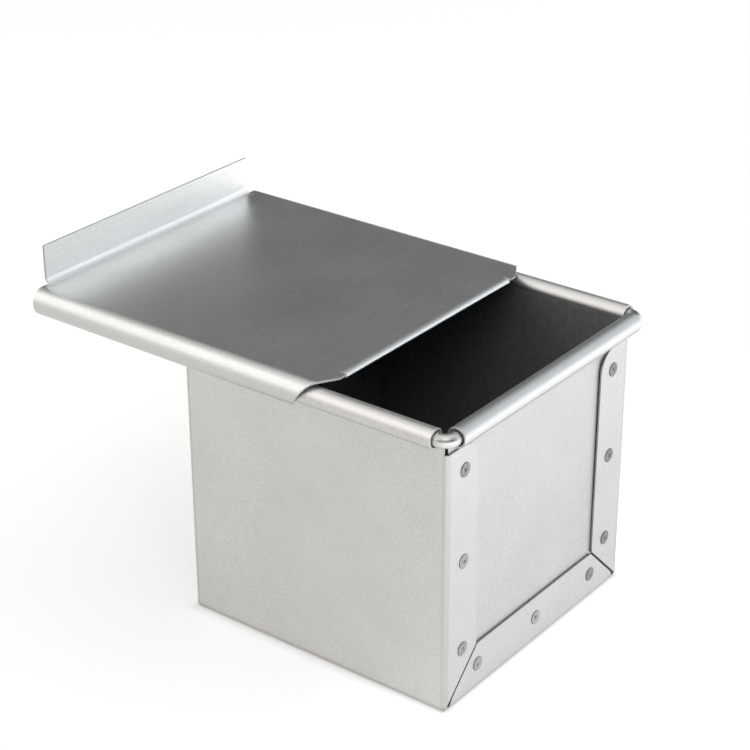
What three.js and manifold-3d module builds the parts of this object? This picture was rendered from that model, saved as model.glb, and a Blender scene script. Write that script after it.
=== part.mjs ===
// Cube bread pan with a sliding lid, in folded and riveted sheet metal.
//
// Millimetres, +Z up. The origin is the middle of the pan's underside. The riveted ends face
// +X and -X, and the lid slides along X, with its grip at the -X end.

import * as THREE from 'three';
import { mergeVertices } from 'three/addons/utils/BufferGeometryUtils.js';
import Module from 'manifold-3d';

const wasm = await Module();
wasm.setup();

// Driving dimensions: the pan
const insideLength = 80;
const insideWidth = 80;
const insideDepth = 80;
const bodySheet = 0.6;
const bendInside = 0.5;
const wireDiameter = 3.6;
const wireClearance = 0.3;
const wireCornerRadius = 2.8;
const wireJointGap = 0.5;
const rollMouth = 0.35;
const sideRollSetback = 1.8;
const endRollSetback = 1.1;

// Driving dimensions: the flaps folded round each end, and the end panels behind them
const flapWidth = 13.5;
const flapCorner = 6;
const flapTaper = 0.7;
const flapRollGap = 2.3;
const mitreGap = 0.45;
const cornerRelief = 1.3;
const panelEdgeGap = 0.1;

// Driving dimensions: the rivets
const shankDiameter = 2.4;
const headDiameter = 3.9;
const headHeight = 0.25;
const headRound = 0.12;
const dimpleDiameter = 2.2;
const dimpleDepth = 0.3;
const tailDiameter = 3.6;
const tailHeight = 0.5;
const holeClearance = 0.3;
const topRivetInset = 6.6;
const lowRivetInset = 2;
const floorRivetInset = 0.7;

// Driving dimensions: the lid
const lidSheet = 0.6;
const lidOverhang = 3.2;
const hemDepth = 4;
const hemGap = 0.1;
const hemClearance = 0.3;
const lipClearance = 0.3;
const curlWrap = 165;
const cornerAngle = 31;
const cornerFlat = 5;
const cornerLand = 2.3;
const notchWidth = 0.8;
const notchDepth = 1.8;
const gripHeight = 10.8;
const gripBend = 1.8;
const gripEndGap = 1.9;
const curlTailGap = 0.9;
const reliefWidth = 0.3;
const reliefDepth = 0.8;
const lidOpening = 41.4;

// Facets: segments of a rivet and of a corner relief, and steps along arcs
const rivetSegments = 14;
const reliefSegments = 8;
const bendSteps = 3;
const rollSteps = 12;
const curlSteps = 10;
const wireSides = 16;
const wireCornerSteps = 6;

// Length by which a cutter or a joined piece runs past the face that it meets
const overrun = 2;

// Sheet-metal sizes that follow
const bendOutside = bendInside + bodySheet;
const cavityX = insideLength / 2;
const cavityY = insideWidth / 2;
const panelOuterX = cavityX + bodySheet;
const flapOuterX = panelOuterX + bodySheet;
const wallOuterY = cavityY + bodySheet;
const rollInside = wireDiameter / 2 + wireClearance;
const rollRadius = rollInside + bodySheet;
const rimTop = bodySheet + insideDepth;
const rollZ = rimTop - rollRadius;
const rollX = cavityX + rollRadius;
const rollY = cavityY + rollRadius;
const flapTop = rollZ - rollRadius - flapRollGap;
const windowHalf = wallOuterY - flapWidth;
const panelHalf = cavityY - bendInside - panelEdgeGap;

// Lid sizes that follow. The hem clears the end rolls, and the curls go round the side rolls.
const foldRadius = lidSheet + hemGap / 2;
const lidLift = hemClearance + 2 * foldRadius - lidSheet;
const curlInside = rollRadius + (lidLift + lipClearance) / 2;
const curlOutside = curlInside + lidSheet;
const lidUnder = rimTop + lidLift;
const lidTop = lidUnder + lidSheet;
const curlZ = lidUnder - curlInside;
const lidHalf = rollY + curlOutside;
const lidFront = rollX + rollRadius + lidOverhang;
const gripX = -lidFront;
const gripHalf = rollY - gripEndGap;
const gripOutside = gripBend + lidSheet;
const cornerSlope = Math.tan(THREE.MathUtils.degToRad(cornerAngle));
const curlFront = lidFront - cornerSlope * cornerFlat;
const cornerY = rollY - cornerFlat;
const notchY = cornerY - cornerLand;
const hemHalf = notchY - notchWidth;

const steel = { metalness: 1, roughness: 0.38 };
const finishes = {
  body: { ...steel, color: 0xc8c7c2 },
  panel: { ...steel, color: 0xd8d8d6 },
  wire: { ...steel, color: 0xc2c2be },
  rivet: { ...steel, color: 0x9c9b97 },
  lid: { ...steel, color: 0xa9a9a5 },
};

// Turns a closed geometry into a solid that can be joined and cut.
function solidOf(geometry) {
  const bare = geometry.index ? geometry.toNonIndexed() : geometry.clone();
  bare.deleteAttribute('normal');
  bare.deleteAttribute('uv');
  const merged = mergeVertices(bare);
  const vertProperties = new Float32Array(merged.attributes.position.array);
  const triVerts = new Uint32Array(merged.index.array);
  return new wasm.Manifold(new wasm.Mesh({ numProp: 3, vertProperties, triVerts }));
}

// Turns a solid back into a geometry.
function geometryOf(solid) {
  const { vertProperties, triVerts } = solid.getMesh();
  const geometry = new THREE.BufferGeometry();
  geometry.setAttribute('position', new THREE.BufferAttribute(vertProperties, 3));
  geometry.setIndex(new THREE.BufferAttribute(triVerts, 1));
  geometry.computeVertexNormals();
  return geometry;
}

const axisX = new THREE.Vector3(1, 0, 0);
const axisY = new THREE.Vector3(0, 1, 0);
const axisZ = new THREE.Vector3(0, 0, 1);

// An outline drawn in Y and Z, as a bar along X.
function barAlongX(outline, from, to, curveSegments) {
  const geometry = new THREE.ExtrudeGeometry(outline, { depth: to - from, curveSegments, bevelEnabled: false });
  const place = new THREE.Matrix4().makeBasis(axisY, axisZ, axisX).setPosition(from, 0, 0);
  return geometry.applyMatrix4(place);
}

// An outline drawn in X and Z, as a bar across Y, from -half to +half.
function barAcrossY(outline, half, curveSegments) {
  const geometry = new THREE.ExtrudeGeometry(outline, { depth: 2 * half, curveSegments, bevelEnabled: false });
  const place = new THREE.Matrix4().makeBasis(axisX, axisZ, axisY.clone().negate()).setPosition(0, half, 0);
  return geometry.applyMatrix4(place);
}

// An outline drawn in X and Y, as a block between two heights.
function blockUpZ(outline, from, to, curveSegments) {
  const geometry = new THREE.ExtrudeGeometry(outline, { depth: to - from, curveSegments, bevelEnabled: false });
  return geometry.translate(0, 0, from);
}

// Half a turn about Z, which swaps front and rear, and left and right.
function turnedRound(geometry) {
  return geometry.clone().applyMatrix4(new THREE.Matrix4().makeScale(-1, -1, 1));
}

// A rectangle with round corners at the bottom, and at the top too where it is asked for.
function roundedRectangle(half, low, high, radius, roundTop) {
  const outline = new THREE.Shape();
  const topRadius = roundTop ? radius : 0;
  outline.moveTo(-half + radius, low);
  outline.lineTo(half - radius, low);
  outline.absarc(half - radius, low + radius, radius, -Math.PI / 2, 0, false);
  outline.lineTo(half, high - topRadius);
  if (roundTop) {
    outline.absarc(half - radius, high - radius, radius, 0, Math.PI / 2, false);
    outline.absarc(-half + radius, high - radius, radius, Math.PI / 2, Math.PI, false);
  } else {
    outline.lineTo(-half, high);
  }
  outline.lineTo(-half, low + radius);
  outline.absarc(-half + radius, low + radius, radius, Math.PI, 1.5 * Math.PI, false);
  return outline;
}

// A tub form: upright and bottom edges are folds of one radius, and the top is flat.
function foldedTub(halfX, halfY, low, high, radius) {
  const plan = roundedRectangle(halfX, -halfY, halfY, radius, true);
  const section = roundedRectangle(halfY, low, high, radius, false);
  const side = roundedRectangle(halfX, low, high, radius, false);
  const upright = solidOf(blockUpZ(plan, low, high, bendSteps));
  const alongX = solidOf(barAlongX(section, -halfX, halfX, bendSteps));
  const acrossY = solidOf(barAcrossY(side, halfY, bendSteps));
  return upright.intersect(alongX).intersect(acrossY);
}

// Outline of a sheet's top edge rolled outward round the wire. The sheet stands at inner, and
// its roll ends just short of the sheet's own outer face.
function rolledEdge(inner, foot) {
  const centre = inner + rollRadius;
  const mouth = -Math.PI + Math.acos((rollRadius - bodySheet - rollMouth) / rollRadius);
  const outline = new THREE.Shape();
  outline.moveTo(inner, foot);
  outline.lineTo(inner, rollZ);
  outline.absarc(centre, rollZ, rollRadius, Math.PI, mouth, true);
  outline.absarc(centre, rollZ, rollInside, mouth, Math.PI, false);
  outline.lineTo(inner + bodySheet, foot);
  outline.closePath();
  return outline;
}

// The space between the flaps of one end. It widens a little upward, and its flaps' upper inner
// corners are rounded.
function flapWindow() {
  const shoulder = windowHalf + flapTaper + flapCorner;
  const above = flapTop + overrun;
  const bend = flapTop - flapCorner;
  const outline = new THREE.Shape();
  outline.moveTo(-windowHalf, flapWidth);
  outline.lineTo(windowHalf, flapWidth);
  outline.absarc(shoulder, bend, flapCorner, Math.PI, Math.PI / 2, true);
  outline.lineTo(shoulder, above);
  outline.lineTo(-shoulder, above);
  outline.absarc(-shoulder, bend, flapCorner, Math.PI / 2, 0, true);
  outline.closePath();
  return outline;
}

// The slot between a side flap and the floor flap, from the window's corner out past the pan's.
function mitreSlot(side) {
  const shift = mitreGap / Math.SQRT2;
  const outer = wallOuterY + overrun;
  const outline = new THREE.Shape();
  const points = [
    [windowHalf - shift, flapWidth],
    [outer - shift, -overrun],
    [outer + shift, -overrun],
    [windowHalf + shift, flapWidth],
    [windowHalf, flapWidth + shift],
  ];
  const ordered = side > 0 ? points : points.reverse();
  outline.setFromPoints(ordered.map(([y, z]) => new THREE.Vector2(side * y, z)));
  return outline;
}

// Places of the rivets on an end, as [name, y, z]: three up each side flap, three along the floor.
function rivetPlaces() {
  const line = (flapWidth + bendOutside) / 2;
  const low = flapWidth + lowRivetInset;
  const high = flapTop - topRivetInset;
  const heights = [low, (low + high) / 2, high];
  const reach = windowHalf - floorRivetInset;
  const places = [];
  heights.forEach((z, i) => places.push([`left_${i + 1}`, -wallOuterY + line, z]));
  heights.forEach((z, i) => places.push([`right_${i + 1}`, wallOuterY - line, z]));
  [-reach, 0, reach].forEach((y, i) => places.push([`floor_${i + 1}`, y, line]));
  return places;
}

// Cutters for the rivet holes, which go through both ends.
function rivetHoles() {
  const radius = shankDiameter / 2 + holeClearance;
  const length = 2 * (flapOuterX + overrun);
  return rivetPlaces().map(([, y, z]) => {
    const drill = new THREE.CylinderGeometry(radius, radius, length, rivetSegments);
    return solidOf(drill.rotateZ(Math.PI / 2).translate(0, y, z));
  });
}

// The small openings at the pan's four lower corners, where three folds meet.
function cornerReliefs() {
  const corners = [[1, 1], [1, -1], [-1, 1], [-1, -1]];
  return corners.map(([signX, signY]) => {
    const ball = new THREE.SphereGeometry(cornerRelief, reliefSegments, reliefSegments);
    return solidOf(ball.translate(signX * flapOuterX, signY * wallOuterY, 0));
  });
}

// The pan's floor and two side walls, folded from one sheet, with flaps round both ends. The
// walls' top edges roll outward over the wire and stop short of the corners.
function bodyShell() {
  const outside = foldedTub(flapOuterX, wallOuterY, 0, flapTop, bendOutside);
  const inside = foldedTub(panelOuterX, cavityY, bodySheet, flapTop + overrun, bendInside);
  const faceDepth = flapOuterX + overrun;
  const rollHalf = flapOuterX - sideRollSetback;
  const roll = barAlongX(rolledEdge(cavityY, flapTop - overrun), -rollHalf, rollHalf, rollSteps);
  let shell = outside.subtract(inside);
  shell = shell.subtract(solidOf(barAlongX(flapWindow(), -faceDepth, faceDepth, rollSteps / 2)));
  for (const side of [1, -1]) {
    const slot = barAlongX(mitreSlot(side), panelOuterX, faceDepth, 1);
    shell = shell.subtract(solidOf(slot));
    shell = shell.subtract(solidOf(turnedRound(slot)));
  }
  shell = shell.add(solidOf(roll)).add(solidOf(turnedRound(roll)));
  [...rivetHoles(), ...cornerReliefs()].forEach((cutter) => {
    shell = shell.subtract(cutter);
  });
  return geometryOf(shell);
}

// A flat end panel behind the flaps, its top edge rolled outward over the wire. The roll is
// wider than the plate, which stands between the side walls.
function endPanel() {
  const plate = new THREE.Shape();
  const foot = bodySheet + bendInside + panelEdgeGap;
  plate.moveTo(cavityX, foot);
  plate.lineTo(panelOuterX, foot);
  plate.lineTo(panelOuterX, rollZ);
  plate.lineTo(cavityX, rollZ);
  plate.closePath();
  const roll = rolledEdge(cavityX, flapTop + flapRollGap / 2);
  let panel = solidOf(barAcrossY(plate, panelHalf, 1));
  panel = panel.add(solidOf(barAcrossY(roll, wallOuterY - endRollSetback, rollSteps)));
  rivetHoles().forEach((hole) => {
    panel = panel.subtract(hole);
  });
  return geometryOf(panel);
}

// The wire's way round the rim: straight runs and round corners, from one side of its joint in
// the rear roll to the other. Its stations are numbered evenly, so each corner keeps its steps.
class RimPath extends THREE.Curve {
  constructor() {
    super();
    const centreX = rollX - wireCornerRadius;
    const centreY = rollY - wireCornerRadius;
    const corners = [[-1, -1], [1, -1], [1, 1], [-1, 1]];
    this.stations = [new THREE.Vector3(-rollX, -wireJointGap / 2, rollZ)];
    corners.forEach(([signX, signY], corner) => {
      for (let step = 0; step <= wireCornerSteps; step += 1) {
        const angle = Math.PI + (corner + step / wireCornerSteps) * (Math.PI / 2);
        const x = signX * centreX + wireCornerRadius * Math.cos(angle);
        const y = signY * centreY + wireCornerRadius * Math.sin(angle);
        this.stations.push(new THREE.Vector3(x, y, rollZ));
      }
    });
    this.stations.push(new THREE.Vector3(-rollX, wireJointGap / 2, rollZ));
  }

  get steps() {
    return this.stations.length - 1;
  }

  getPoint(t, target = new THREE.Vector3()) {
    const place = THREE.MathUtils.clamp(t, 0, 1) * this.steps;
    const from = Math.min(Math.floor(place), this.steps - 1);
    return target.lerpVectors(this.stations[from], this.stations[from + 1], place - from);
  }

  getUtoTmapping(u) {
    return u;
  }
}

// The stiffening wire inside the rolls, bent round the four corners, where it shows.
function rimWire() {
  const section = new THREE.Shape().absarc(0, 0, wireDiameter / 2, 0, 2 * Math.PI, false);
  const path = new RimPath();
  const curveSegments = wireSides / 2;
  return new THREE.ExtrudeGeometry(section, { steps: path.steps, extrudePath: path, curveSegments });
}

// A rivet along X, its head's underside at x = 0: dished head outside, flat tail inside.
function rivet() {
  const headRadius = headDiameter / 2;
  const tailRadius = tailDiameter / 2;
  const shankRadius = shankDiameter / 2;
  const grip = 2 * bodySheet;
  const profile = [
    [0, -grip - tailHeight],
    [tailRadius - headRound, -grip - tailHeight],
    [tailRadius, -grip - tailHeight + headRound],
    [tailRadius, -grip],
    [shankRadius, -grip],
    [shankRadius, 0],
    [headRadius, 0],
    [headRadius, headHeight - headRound],
    [headRadius - headRound, headHeight],
    [dimpleDiameter / 2, headHeight],
    [0, headHeight - dimpleDepth],
  ];
  const points = profile.map(([radius, along]) => new THREE.Vector2(radius, along));
  const turned = new THREE.LatheGeometry(points, rivetSegments);
  const place = new THREE.Matrix4().makeBasis(axisY, axisX, axisZ.clone().negate());
  return geometryOf(solidOf(turned.applyMatrix4(place)));
}

// Outline of the lid across its width: a flat sheet with a curl down each side.
function lidSection() {
  const lip = Math.PI / 2 - THREE.MathUtils.degToRad(curlWrap);
  const outline = new THREE.Shape();
  outline.moveTo(-rollY, lidTop);
  outline.lineTo(rollY, lidTop);
  outline.absarc(rollY, curlZ, curlOutside, Math.PI / 2, lip, true);
  outline.absarc(rollY, curlZ, curlInside, lip, Math.PI / 2, false);
  outline.lineTo(-rollY, lidUnder);
  outline.absarc(-rollY, curlZ, curlInside, Math.PI / 2, Math.PI - lip, false);
  outline.absarc(-rollY, curlZ, curlOutside, Math.PI - lip, Math.PI / 2, true);
  outline.closePath();
  return outline;
}

// Outline of the lid from above: cut corners and hem notches in front, relief slits by the grip.
function lidPlan() {
  const wide = lidHalf + overrun;
  const curlTail = gripX + curlTailGap;
  const half = [
    [gripX + gripOutside, gripHalf],
    [gripX + gripOutside + reliefDepth, gripHalf],
    [gripX + gripOutside + reliefDepth, gripHalf + reliefWidth],
    [curlTail, gripHalf + reliefWidth],
    [curlTail, wide],
    [curlFront, wide],
    [curlFront, rollY],
    [lidFront, cornerY],
    [lidFront, notchY],
    [lidFront - notchDepth, notchY],
    [lidFront - notchDepth, hemHalf],
    [lidFront - foldRadius, hemHalf],
  ];
  const mirrored = half.map(([x, y]) => [x, -y]).reverse();
  const points = [...half.reverse(), ...mirrored.reverse()];
  return new THREE.Shape(points.map(([x, y]) => new THREE.Vector2(x, y)));
}

// Outline of the lid's front hem: the sheet's edge folded back flat under itself.
function lidHem() {
  const foldX = lidFront - foldRadius;
  const foldZ = lidTop - foldRadius;
  const hemBack = lidFront - hemDepth;
  const outline = new THREE.Shape();
  outline.moveTo(foldX - overrun, lidTop);
  outline.absarc(foldX, foldZ, foldRadius, Math.PI / 2, -Math.PI / 2, true);
  outline.lineTo(hemBack, foldZ - foldRadius);
  outline.lineTo(hemBack, foldZ - hemGap / 2);
  outline.absarc(foldX, foldZ, hemGap / 2, -Math.PI / 2, Math.PI / 2, false);
  outline.lineTo(foldX - overrun, lidUnder);
  outline.closePath();
  return outline;
}

// Outline of the grip: the lid's rear end folded up.
function lidGrip() {
  const foldX = gripX + gripOutside;
  const foldZ = lidTop + gripBend;
  const top = lidTop + gripHeight;
  const outline = new THREE.Shape();
  outline.moveTo(foldX + overrun, lidUnder);
  outline.absarc(foldX, foldZ, gripOutside, -Math.PI / 2, -Math.PI, true);
  outline.lineTo(gripX, top);
  outline.lineTo(gripX + lidSheet, top);
  outline.absarc(foldX, foldZ, gripBend, Math.PI, 1.5 * Math.PI, false);
  outline.lineTo(foldX + overrun, lidTop);
  outline.closePath();
  return outline;
}

// A closed block through a row of four-cornered loops, each the same way round.
function loftedBlock(loops) {
  const index = [];
  const addFace = (a, b, c, d) => index.push(a, b, c, a, c, d);
  for (let from = 0; from < 4 * (loops.length - 1); from += 4) {
    for (let corner = 0; corner < 4; corner += 1) {
      const next = (corner + 1) % 4;
      addFace(from + corner, from + next, from + 4 + next, from + 4 + corner);
    }
  }
  const last = 4 * (loops.length - 1);
  addFace(3, 2, 1, 0);
  addFace(last, last + 1, last + 2, last + 3);
  const geometry = new THREE.BufferGeometry().setFromPoints(loops.flat());
  geometry.setIndex(index);
  return geometry;
}

// The part of one curl in front of its slanted end. The corner is cut straight across the flat
// blank, so on the curl the cut runs back as it goes round.
function curlTrim(side) {
  const step = THREE.MathUtils.degToRad(curlWrap) / curlSteps;
  const inner = curlInside / 2;
  const outer = curlOutside + overrun;
  const ahead = lidFront + overrun;
  const loops = [];
  for (let count = 0; count <= curlSteps + 1; count += 1) {
    const turn = count * step;
    const end = curlFront - cornerSlope * curlOutside * turn;
    const loop = [[inner, end], [outer, end], [outer, ahead], [inner, ahead]].map(([radius, x]) => {
      const y = side * (rollY + radius * Math.sin(turn));
      return new THREE.Vector3(x, y, curlZ + radius * Math.cos(turn));
    });
    loops.push(side > 0 ? loop : loop.reverse());
  }
  return loftedBlock(loops);
}

// The sliding lid, drawn shut.
function lidGeometry() {
  const sheet = solidOf(barAlongX(lidSection(), gripX, lidFront, curlSteps));
  const low = curlZ - curlOutside - overrun;
  const plan = solidOf(blockUpZ(lidPlan(), low, lidTop + overrun, 1));
  const hem = solidOf(barAcrossY(lidHem(), hemHalf, bendSteps));
  const grip = solidOf(barAcrossY(lidGrip(), gripHalf, bendSteps));
  const trims = [1, -1].map((side) => solidOf(curlTrim(side)));
  const trimmed = sheet.intersect(plan).subtract(trims[0]).subtract(trims[1]);
  return geometryOf(trimmed.add(hem).add(grip));
}

// Puts a named piece into a group, with a finish of its own.
function addPiece(group, name, geometry, finish) {
  const mesh = new THREE.Mesh(geometry, new THREE.MeshStandardMaterial(finish));
  mesh.name = name;
  group.add(mesh);
  return mesh;
}

const pan = new THREE.Group();
addPiece(pan, 'body_shell', bodyShell(), finishes.body);
const panel = endPanel();
addPiece(pan, 'end_panel_front', panel, finishes.panel);
addPiece(pan, 'end_panel_rear', turnedRound(panel), finishes.panel);
addPiece(pan, 'rim_wire', rimWire(), finishes.wire);

const frontRivet = rivet();
const rearRivet = turnedRound(frontRivet);
for (const [place, y, z] of rivetPlaces()) {
  addPiece(pan, `rivet_front_${place}`, frontRivet, finishes.rivet).position.set(flapOuterX, y, z);
  addPiece(pan, `rivet_rear_${place}`, rearRivet, finishes.rivet).position.set(-flapOuterX, -y, z);
}

const lid = new THREE.Group();
lid.position.x = -lidOpening;
addPiece(lid, 'lid', lidGeometry(), finishes.lid);

const breadPan = new THREE.Group();
breadPan.add(pan, lid);

export default breadPan;
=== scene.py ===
"""Looks of a cube bread pan: a folded and riveted sheet-metal pan with a wired rim, and its sliding lid.

Sizes are millimetres and become metres where a mesh is made. The riveted front end faces +X, the
side walls face -Y and +Y, and the lid slides along X with its grip at the -X end. Each sheet is worked
out as grids of points on one of its faces, joined along their edges and then given its thickness.
"""

import logging
import math
from dataclasses import dataclass
from enum import Enum
from functools import partial, reduce

import bpy
import numpy as np
from mathutils import Matrix, Vector


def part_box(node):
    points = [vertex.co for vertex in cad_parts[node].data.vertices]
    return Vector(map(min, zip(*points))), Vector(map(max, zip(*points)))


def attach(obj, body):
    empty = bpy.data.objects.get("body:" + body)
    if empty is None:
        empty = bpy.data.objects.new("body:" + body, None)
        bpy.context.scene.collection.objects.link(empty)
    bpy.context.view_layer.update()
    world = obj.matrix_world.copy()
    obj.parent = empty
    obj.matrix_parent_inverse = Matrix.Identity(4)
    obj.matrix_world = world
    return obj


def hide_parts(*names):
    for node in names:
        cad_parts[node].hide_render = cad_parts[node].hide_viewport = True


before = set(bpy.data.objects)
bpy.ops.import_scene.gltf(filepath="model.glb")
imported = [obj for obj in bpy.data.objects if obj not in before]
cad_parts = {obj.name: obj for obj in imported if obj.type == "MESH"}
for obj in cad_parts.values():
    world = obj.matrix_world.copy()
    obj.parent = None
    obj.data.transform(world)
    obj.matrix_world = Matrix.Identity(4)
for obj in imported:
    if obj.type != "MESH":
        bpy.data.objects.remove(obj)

Array = np.ndarray
Span = tuple[float, float]
Triple = tuple[float, float, float]
Socket = bpy.types.NodeSocket
Value = Socket | float | Triple
Piece = bpy.types.Object
Material = bpy.types.Material

MM = 0.001
WELD_GAP = 0.001
WHITE = (1.0, 1.0, 1.0, 1.0)

# Softened cut edges: the steps across each, and the least angle in degrees that is softened.
EDGE_STEPS = 3
EDGE_ANGLE = 50.0

# Waves of an uneven sheet: how fast each goes along and across it, and where it starts. The second
# wave's height is a share of the first's.
LONG_WAVE = (5.1, 2.3, 0.7)
CROSS_WAVE = (-8.2, 3.7, 1.9)
CROSS_SHARE = 0.6

LOG = logging.getLogger("bread_pan")


class End(Enum):
    """The two riveted ends of the pan, by the sign of X."""

    FRONT = 1
    REAR = -1

    @property
    def panel(self) -> str:
        """Name of this end's panel."""
        return f"end_panel_{self.name.lower()}"


class Brush(Enum):
    """The way that a sheet's rolling marks run, as the stretch of its grain along X, Y and Z."""

    ALONG_X = (0.03, 1.0, 1.0)
    ALONG_Y = (1.0, 0.03, 1.0)
    ALONG_Z = (1.0, 1.0, 0.03)


class Mix(Enum):
    """The kinds of value that can be mixed, as the numbers of a Mix node's two inputs and its output."""

    FLOAT = (2, 3, 0)
    RGBA = (6, 7, 2)


def arc(centre: Span, radius: float, start: float, end: float, steps: int) -> Array:
    """Points on an arc: the centre plus the radius along angles evenly spaced from start to end.

    Args:
        centre: middle of the circle.
        radius: its radius.
        start: first angle in degrees.
        end: last angle in degrees.
        steps: number of equal steps between them.

    Returns:
        One row per point, with two columns.
    """
    angle = np.radians(np.linspace(start, end, steps + 1))
    return np.array(centre) + radius * np.stack([np.cos(angle), np.sin(angle)], axis=1)


def straight(start: Span, end: Span, steps: int) -> Array:
    """Points of a straight run, evenly spaced from start to end."""
    return np.linspace(start, end, steps + 1)


def joined(*runs: Array) -> Array:
    """One line through several runs, each of which starts where the one before it ended."""
    return np.concatenate([runs[0]] + [run[1:] for run in runs[1:]])


def corners(node: str) -> tuple[Array, Array]:
    """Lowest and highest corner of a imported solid, in millimetres."""
    low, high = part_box(node)
    return np.array(low) / MM, np.array(high) / MM


def beside(line: float, offsets: Span) -> Span:
    """Two places, by their offsets from a line."""
    return line + offsets[0], line + offsets[1]


def smooth_step(share: Array) -> Array:
    """0 below 0 and 1 above 1, joined by three squares less two cubes of the share between."""
    share = np.clip(share, 0, 1)
    return share * share * (3 - 2 * share)


def wave(u: Array, v: Array, shape: Triple) -> Array:
    """Sine of u and v times the shape's first two numbers, plus its third."""
    return np.sin(shape[0] * u + shape[1] * v + shape[2])


def ripple(u: Array, v: Array, depth: float) -> Array:
    """Slow unevenness of a flat sheet over u and v from 0 to 1.

    Two crossed waves are added and faded to nothing along the border by a sine window.

    Args:
        u: places along the sheet.
        v: places across the sheet.
        depth: height of the waves.

    Returns:
        The offset at each place.
    """
    window = np.sin(np.pi * np.clip(u, 0, 1)) * np.sin(np.pi * np.clip(v, 0, 1))
    return depth * window * (wave(u, v, LONG_WAVE) + CROSS_SHARE * wave(u, v, CROSS_WAVE))


@dataclass
class Patch:
    """A grid of points in space, the cells of it that are metal, and which way its faces turn."""

    points: Array
    kept: Array | None = None
    flipped: bool = False

    @classmethod
    def of(cls, x: Array, y: Array, z: Array, kept: Array | None = None, flipped: bool = False) -> "Patch":
        """A patch of X, Y and Z, each of which may vary along the rows, the columns or both."""
        return cls(np.stack(np.broadcast_arrays(x, y, z), axis=-1), kept, flipped)

    def quads(self) -> Array:
        """Numbers of the four corners of each kept cell, in order round it.

        Returns:
            One row per cell, turned the other way round where the patch is flipped.
        """
        rows, columns = self.points.shape[:2]
        number = np.arange(rows * columns).reshape(rows, columns)
        cells = [number[:-1, :-1], number[:-1, 1:], number[1:, 1:], number[1:, :-1]]
        faces = np.stack(cells, axis=-1)
        faces = faces[self.kept] if self.kept is not None else faces.reshape(-1, 4)
        return faces[:, ::-1] if self.flipped else faces

    def mirrored(self, sign_x: int, sign_y: int) -> "Patch":
        """The same patch with X and Y times these signs, its faces still on the same side."""
        points = self.points * np.array([sign_x, sign_y, 1])
        return Patch(points, self.kept, self.flipped != (sign_x * sign_y < 0))


def weld(patches: list[Patch]) -> tuple[Array, list[list[int]]]:
    """Joins patches where their points meet.

    Points that fall on the same place become one, points of dropped cells go, and a cell with two
    corners on one place, as at a pole, becomes a triangle.

    Args:
        patches: the patches, whose shared edges have the same points.

    Returns:
        The points, and the corner numbers of each face.
    """
    counts = [patch.points.shape[0] * patch.points.shape[1] for patch in patches]
    starts = np.cumsum([0] + counts[:-1])
    points = np.concatenate([patch.points.reshape(-1, 3) for patch in patches])
    faces = np.concatenate([patch.quads() + start for patch, start in zip(patches, starts)])
    places = np.round(points / WELD_GAP).astype(np.int64)
    first, member = np.unique(places, axis=0, return_index=True, return_inverse=True)[1:]
    used, renumbered = np.unique(member.reshape(-1)[faces], return_inverse=True)
    faces = renumbered.reshape(-1, 4)
    doubled = faces == np.roll(faces, -1, axis=1)
    pinched = doubled.any(axis=1)
    triangles = faces[pinched][~doubled[pinched]].reshape(-1, 3)
    return points[first][used], faces[~pinched].tolist() + triangles.tolist()


def make_piece(name: str, patches: list[Patch]) -> Piece:
    """Makes a smooth mesh object of welded patches, with its place in its mesh.

    Args:
        name: the piece's name.
        patches: its surface, in millimetres.

    Returns:
        The new object.
    """
    points, faces = weld(patches)
    mesh = bpy.data.meshes.new(name)
    mesh.from_pydata((points * MM).tolist(), [], faces)
    mesh.polygons.foreach_set("use_smooth", np.ones(len(faces), bool))
    mesh.update()
    piece = bpy.data.objects.new(name, mesh)
    bpy.context.scene.collection.objects.link(piece)
    return piece


def make_sheet(name: str, patches: list[Patch], sheet: float, edge: float) -> Piece:
    """Makes a piece of sheet metal: thickness behind its faces, then softened cut edges.

    The cut faces take the piece's second finish and the softened edges its first.

    Args:
        name: the piece's name.
        patches: one of its faces, looking away from the metal.
        sheet: thickness in millimetres.
        edge: width of the softened edge in millimetres.

    Returns:
        The new object.
    """
    piece = make_piece(name, patches)
    solid = piece.modifiers.new("thickness", "SOLIDIFY")
    solid.thickness = sheet * MM
    solid.offset = -1
    solid.use_even_offset = True
    solid.use_quality_normals = True
    solid.material_offset_rim = 1
    bevel = piece.modifiers.new("cut_edges", "BEVEL")
    bevel.width = edge * MM
    bevel.segments = EDGE_STEPS
    bevel.limit_method = "ANGLE"
    bevel.angle_limit = math.radians(EDGE_ANGLE)
    bevel.material = 0
    normals = piece.modifiers.new("flat_faces", "WEIGHTED_NORMAL")
    normals.mode = "FACE_AREA"
    return piece


def hand_over(piece: Piece, node: str, body: str, slot: str, *finishes: Material) -> None:
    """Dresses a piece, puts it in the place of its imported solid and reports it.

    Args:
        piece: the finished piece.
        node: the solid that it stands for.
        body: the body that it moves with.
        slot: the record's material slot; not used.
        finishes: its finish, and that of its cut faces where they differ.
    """
    for finish in finishes:
        piece.data.materials.append(finish)
    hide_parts(node)
    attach(piece, body)
    LOG.info("%s stands for %s on %s: %d faces", piece.name, node, body, len(piece.data.polygons))


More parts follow.
